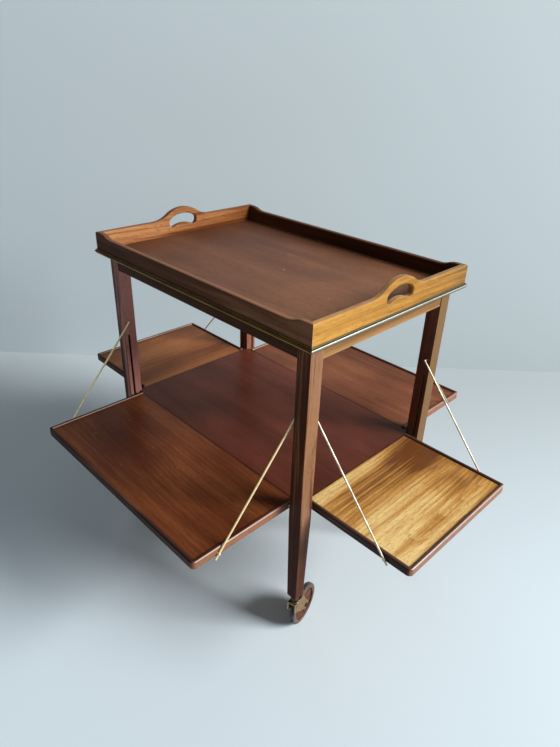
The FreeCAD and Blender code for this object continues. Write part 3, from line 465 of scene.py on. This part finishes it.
# The sides' pale edge colour lines their edges and tops: a painted highlight, partly wear.
tray_side_tones = ((68, 37, 23), (98, 58, 39), (140, 94, 68), (176, 130, 98))
paint("tray_side_front", wood(
    "tray_side_wood_front", "x", *tray_side_tones, offset=(0.0, 0.2, 0.0), bands=34.0, wear_and_painted_light=0.6, edge=0.0015,
    lines=0.15, drift=(TOWARDS_X, 0.8, 0.0), top_edge_light=0.25))
paint("tray_side_back", wood(
    "tray_side_wood_back", "x", *tray_side_tones, offset=(0.6, 0.8, 0.3), bands=34.0, wear_and_painted_light=0.6, edge=0.0015,
    top_edge_light=0.1))
tray_floor_tones = ((92, 56, 40), (118, 77, 55), (146, 98, 70), (186, 146, 118))
paint("tray_floor", wood(
    "tray_floor_wood", "x", *tray_floor_tones, bands=9.0, contrast=0.4, streak=0.2, blotch=0.55, rough=0.42,
    sheen=0.1, drift=(TOWARDS_X, 1.1, 0.02), marks=0.8))

# Painted shade: the shelf's near-black edge colour darkens its edges, the shade in the seams beside it.
shelf_tones = ((72, 34, 24), (94, 47, 35), (114, 60, 45), (26, 12, 9))
paint("lower_shelf", wood(
    "shelf_wood", "x", *shelf_tones, bands=9.0, contrast=0.6, streak=0.2, blotch=0.7, wear_and_painted_light=1.0, edge=0.008,
    rough=0.32, sheen=0.12, marks=0.4, nick=(150, 100, 76)))
top_board_tones = ((84, 54, 34), (112, 76, 48), (134, 94, 62), (150, 110, 76))
paint("top_board", wood("top_board_wood", "x", *top_board_tones))
block_tones = ((110, 74, 44), (142, 100, 62), (166, 122, 80), (176, 134, 92))
paint("top_fixing_blocks", wood("block_wood", "x", *block_tones))

# Painted shade: the leaf panels' dark edge colour darkens their edges, the shade in the seams at the shelf
# and under the rims.
leaf_tones = {
    "front": ((74, 33, 17), (99, 51, 28), (134, 76, 41), (40, 17, 9)),
    "right": ((112, 66, 33), (196, 143, 74), (238, 206, 138), (112, 62, 30)),
    "back": ((92, 50, 32), (122, 72, 48), (150, 96, 66), (56, 28, 18)),
    "left": ((104, 57, 28), (150, 88, 47), (180, 114, 64), (62, 31, 15)),
}
leaf_drift = {
    "front": ((-0.25, 1.0, 0.0), 1.4, -0.29),
    "right": ((0.45, -0.9, 0.0), 1.8, 0.18),
    "back": None,
    "left": (TOWARDS_X, 0.6, -0.39),
}
plain_figure = {"bands": 10.0, "streak": 0.3, "figure": 0.12, "rings": 30.0, "blotch": 0.7, "flecks": 0.15}
lively_figure = {
    "bands": 20.0, "streak": 0.5, "figure": 0.17, "rings": 40.0, "blotch": 0.6, "flecks": 0.3,
    "heart": -0.7, "twist": 3.6,
    "patches": (((0.345, 0.12, 0.32), 0.07, -0.06), ((0.42, 0.075, 0.32), 0.06, -0.2)),
}
leaf_figure = {"front": plain_figure, "right": lively_figure, "back": plain_figure, "left": plain_figure}
leaf_nick = (196, 140, 92)
# Painted light on the rims: lit_side makes their faces towards +X lighter, and the pale edge colour, stronger
# on the right and back, paints highlights on their edges and tops, partly wear.
rim_tones = ((40, 20, 14), (56, 31, 22), (142, 99, 76), (222, 168, 150))
rim_gleam = (1.0, 0.9, 0.86, 1.0)
rim_wear_and_painted_light = {"front": 0.08, "right": 0.3, "back": 0.3, "left": 0.2}
rim_sheen = {"front": 0.04, "right": 0.12, "back": 0.12, "left": 0.08}
rim_polish = {"front": 0.5, "right": 1.0, "back": 0.5, "left": 0.5}
for number, side in enumerate(SIDES):
    run = GRAIN_ALONG[side]
    paint(f"{side}_leaf_panel", wood(
        f"{side}_leaf_wood", run, *leaf_tones[side], offset=(0.37 * number, 0.23 * number, 0.0),
        contrast=0.75, lines=0.1, wear_and_painted_light=0.9, edge=0.006, rough=0.34, sheen=0.1, marks=0.2, nick=leaf_nick,
        drift=leaf_drift[side], **leaf_figure[side]))
    low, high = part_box(f"{side}_leaf_rim")
    wide, deep = (0, 1) if run == "x" else (1, 0)
    half = high[wide]
    reach = max(abs(low[deep]), abs(high[deep]))
    paint(f"{side}_leaf_rim", wood(
        f"{side}_rim_wood", rim_grain(half, reach, run), *rim_tones, offset=(0.3 * number, 0.1, 0.2),
        bands=60.0, contrast=0.6, wear_and_painted_light=rim_wear_and_painted_light[side], edge=0.002, rough=0.3, sheen=rim_sheen[side],
        gleam=rim_gleam, lit_side=("X", 0.6), top_edge_light=rim_wear_and_painted_light[side] / 3, polish=rim_polish[side]))

# Colours of metal are bright, dull, and grime that also paints shade.
# A lit and a shaded copy of one metal: the right and back mouldings are painted bright and the front and left
# dark, as painted light and shade. The bands darken grooves and ledges at given heights as painted shade.
moulding_grain = (14.0, 14.0, 90.0)
lit_side_moulding = metal(
    "lit_side_moulding", (158, 158, 146), (114, 110, 88), (52, 46, 32), rough=0.38, tarnish=0.65,
    grain_scale=moulding_grain, rub_and_painted_light=0.0,
    bands=((0.6687, 0.6702, 0.75), (0.6672, 0.6681, 0.9), (0.6610, 0.6634, 0.55)))
shaded_side_moulding = metal(
    "shaded_side_moulding", (176, 132, 72), (112, 80, 44), (34, 24, 15), rough=0.4, tarnish=0.6,
    grain_scale=moulding_grain, rub_and_painted_light=0.0, bands=((0.6687, 0.6702, 0.7), (0.6634, 0.6680, 0.85)))
mouldings = {"front": shaded_side_moulding, "right": lit_side_moulding, "back": lit_side_moulding, "left": shaded_side_moulding}
# A brightened and a dulled copy of one brass: the rods on the front and left, which lie in shade, are painted
# brighter and those on the right and back duller, as painted light and shade. The leaf pivots take the
# brightened copy.
rod_brass = metal(
    "rod_brass", (250, 228, 172), (216, 186, 128), (104, 84, 54), rough=0.38, tarnish=0.5, bare=0.4)
dulled_rod_brass = metal(
    "dulled_rod_brass", (206, 192, 172), (142, 126, 106), (84, 70, 54), rough=0.34, tarnish=0.7, bare=0.6)
rods = {"front": rod_brass, "right": dulled_rod_brass, "back": dulled_rod_brass, "left": rod_brass}
# Painted light on the casters: the band darkens everything above the fork's crown, under the leg, as painted
# shade, and the pale edge colour paints a highlight along the edges, partly wear.
caster_brass = metal(
    "caster_brass", (168, 134, 86), (118, 88, 50), (48, 34, 22), rough=0.4, tarnish=0.7, edge=0.0022,
    bands=((0.0868, 0.15, 0.85),), rubbed_edge_and_painted_light=(246, 224, 190), rub_and_painted_light=0.85)
steel = metal("dull_steel", (150, 146, 138), (96, 92, 86), (58, 54, 50), rough=0.38)
axle_steel = metal("axle_steel", (82, 70, 58), (52, 42, 34), (26, 20, 16), rough=0.45)
for side in SIDES:
    paint(f"edge_moulding_{side}", mouldings[side])
    paint(f"{side}_leaf_pivots", rod_brass)
    for letter in "ab":
        paint(f"{side}_stay_rod_{letter}", rods[side])
for node in ("top_fixing_screws", "tray_panel_pins"):
    paint(node, steel)
paint("caster_sockets", caster_brass)

# Directions in which the wheels trail, in degrees from +X.
HEADINGS = {"front_left": 60.0, "front_right": 103.9, "back_right": 160.0, "back_left": 215.0}
wheel_tones = ((62, 36, 24), (92, 58, 42), (120, 82, 64), (178, 150, 138))
wheel = wood("wheel_wood", "x", *wheel_tones, bands=60.0, edge=0.003, wear_and_painted_light=0.7, rough=0.4)
# The ridge colour is both the tread's dust and the painted highlight on its ridges.
tread_colour, ridge_glint_and_dust_colour, wall_colour = (30, 33, 40), (168, 170, 174), (96, 84, 78)
for corner, heading in HEADINGS.items():
    turn = math.radians(heading)
    axle = (-math.sin(turn), math.cos(turn), 0.0)
    paint(f"{corner}_caster_fork", caster_brass)
    paint(f"{corner}_caster_axle", axle_steel)
    paint(f"{corner}_caster_wheel", wheel)
    paint(f"{corner}_caster_tyre", rubber(
        f"tyre_rubber_{corner}", tread_colour, ridge_glint_and_dust_colour, wall_colour, axle))


WALL_DISTANCE = 0.85
WALL_HEIGHT = 5.0
STAGE_REACH = 7.0
VIEW_TURN = math.radians(44.74)
AWAY = Vector((-math.sin(VIEW_TURN), math.cos(VIEW_TURN), 0.0))
ACROSS = Vector((math.cos(VIEW_TURN), math.sin(VIEW_TURN), 0.0))
# Painted shade on the floor and wall: darker towards the wall and towards the right.
NEAR_LEFT, NEAR_RIGHT = (217, 231, 240), (200, 213, 222)
FAR_LEFT, FAR_RIGHT = (206, 217, 222), (172, 182, 186)
FADE_START, FADE_END = -0.5, 0.8
SIDE_FADE = 1.2
BACKDROP_ROUGHNESS, BACKDROP_SHEEN = 0.7, 0.2


def backdrop_paint(name):
    """Matt paint with painted shade, darker from near to far and from left to right, see-through from behind.
    """
    t = Tree(name)
    place = t.add("ShaderNodeTexCoord").outputs["Object"]
    far_shade = t.spread(t.vectors("DOT_PRODUCT", place, AWAY)["Value"], FADE_START, FADE_END)
    beside = t.spread(t.vectors("DOT_PRODUCT", place, ACROSS)["Value"], -SIDE_FADE, SIDE_FADE)
    near = t.mix(beside, NEAR_LEFT, NEAR_RIGHT)
    far = t.mix(beside, FAR_LEFT, FAR_RIGHT)
    hue = t.mix(far_shade, near, far)
    t.shade(Base_Color=hue, Roughness=BACKDROP_ROUGHNESS, Specular_IOR_Level=BACKDROP_SHEEN)
    clear = t.add("ShaderNodeBsdfTransparent")
    sheet = t.add("ShaderNodeMixShader")
    t.join(t.add("ShaderNodeNewGeometry").outputs["Backfacing"], sheet.inputs[0])
    t.join(t.shader.outputs["BSDF"], sheet.inputs[1])
    t.join(clear.outputs["BSDF"], sheet.inputs[2])
    t.join(sheet.outputs["Shader"], t.output.inputs["Surface"])
    return t.material


def stage_sheet(name, corners):
    mesh = bpy.data.meshes.new(name)
    mesh.from_pydata(corners, [], [(0, 1, 2, 3)])
    mesh.materials.append(backdrop_paint(f"{name}_paint"))
    sheet = bpy.data.objects.new(name, mesh)
    bpy.context.collection.objects.link(sheet)
    return sheet


FLOOR_CORNERS = ((-1, -1), (1, -1), (1, 1), (-1, 1))
stage_sheet("floor", [(ACROSS * side + AWAY * depth) * STAGE_REACH for side, depth in FLOOR_CORNERS])
wall_up = Vector((0.0, 0.0, WALL_HEIGHT))
wall_left = AWAY * WALL_DISTANCE - ACROSS * STAGE_REACH
wall_right = AWAY * WALL_DISTANCE + ACROSS * STAGE_REACH
wall = stage_sheet("wall", [wall_left, wall_right, wall_right + wall_up, wall_left + wall_up])
wall.visible_shadow = False
wall.visible_diffuse = False

LAMP_TARGET = Vector((0.0, 0.0, 0.35))
WINDOW_PLACE = Vector((4.4, 2.1, 3.2))
WINDOW_SIZE = 2.3
WINDOW_POWER = 525.0
WINDOW_TINT = (1.0, 0.99, 0.97)
FAR_SIDE_PLACE = Vector((-4.2, 2.6, 2.0))
FAR_SIDE_SIZE = 2.6
FAR_SIDE_POWER = 60.0
FAR_SIDE_TINT = (0.95, 0.98, 1.0)


def lamp(name, place, size, power, tint):
    """A square lamp that points at the middle of the object."""
    data = bpy.data.lights.new(name, "AREA")
    data.shape = "SQUARE"
    data.size = size
    data.energy = power
    data.color = tint
    thing = bpy.data.objects.new(name, data)
    thing.location = place
    thing.rotation_euler = (LAMP_TARGET - place).to_track_quat("-Z", "Y").to_euler()
    bpy.context.collection.objects.link(thing)
    return thing


lamp("window", WINDOW_PLACE, WINDOW_SIZE, WINDOW_POWER, WINDOW_TINT)
far_side = lamp("far_side", FAR_SIDE_PLACE, FAR_SIDE_SIZE, FAR_SIDE_POWER, FAR_SIDE_TINT)
far_side.visible_glossy = False

FILL_COLOUR = (0.80, 0.90, 0.95, 1.0)
FILL_STRENGTH = 0.165
BACKING_COLOUR = (196, 209, 214)

# The fill lights the object; the backing is what shows behind it and in what it reflects.
world = bpy.data.worlds.new("studio")
bpy.context.scene.world = world
world.use_nodes = True
sky = world.node_tree
fill = sky.nodes["Background"]
fill.inputs["Color"].default_value = FILL_COLOUR
fill.inputs["Strength"].default_value = FILL_STRENGTH
backing = sky.nodes.new("ShaderNodeBackground")
backing.inputs["Color"].default_value = colour(BACKING_COLOUR)
rays = sky.nodes.new("ShaderNodeLightPath")
seen = rays.outputs["Is Camera Ray"]
for kind in ("Is Glossy Ray", "Is Transmission Ray"):
    either = sky.nodes.new("ShaderNodeMath")
    either.operation = "MAXIMUM"
    sky.links.new(seen, either.inputs[0])
    sky.links.new(rays.outputs[kind], either.inputs[1])
    seen = either.outputs[0]
shown = sky.nodes.new("ShaderNodeMixShader")
sky.links.new(seen, shown.inputs[0])
sky.links.new(fill.outputs[0], shown.inputs[1])
sky.links.new(backing.outputs[0], shown.inputs[2])
sky.links.new(shown.outputs[0], sky.nodes["World Output"].inputs["Surface"])

CAMERA_LENS = 27.63
SENSOR_WIDTH = 36.0
CLIP_START = 0.05
CAMERA_PLACE = Vector((0.8017, -0.7746, 1.0389))
CAMERA_AIM = Vector((-0.0755, 0.1106, 0.3478))
CAMERA_ROLL = 0.0367

camera = bpy.data.cameras.new("camera")
camera.lens = CAMERA_LENS
camera.sensor_width = SENSOR_WIDTH
camera.clip_start = CLIP_START
viewer = bpy.data.objects.new("camera", camera)
bpy.context.collection.objects.link(viewer)
look = (CAMERA_AIM - CAMERA_PLACE).to_track_quat("-Z", "Y").to_matrix().to_4x4()
viewer.matrix_world = Matrix.Translation(CAMERA_PLACE) @ look @ Matrix.Rotation(CAMERA_ROLL, 4, "Z")
bpy.context.scene.camera = viewer

bpy.context.scene.view_settings.view_transform = "Standard"
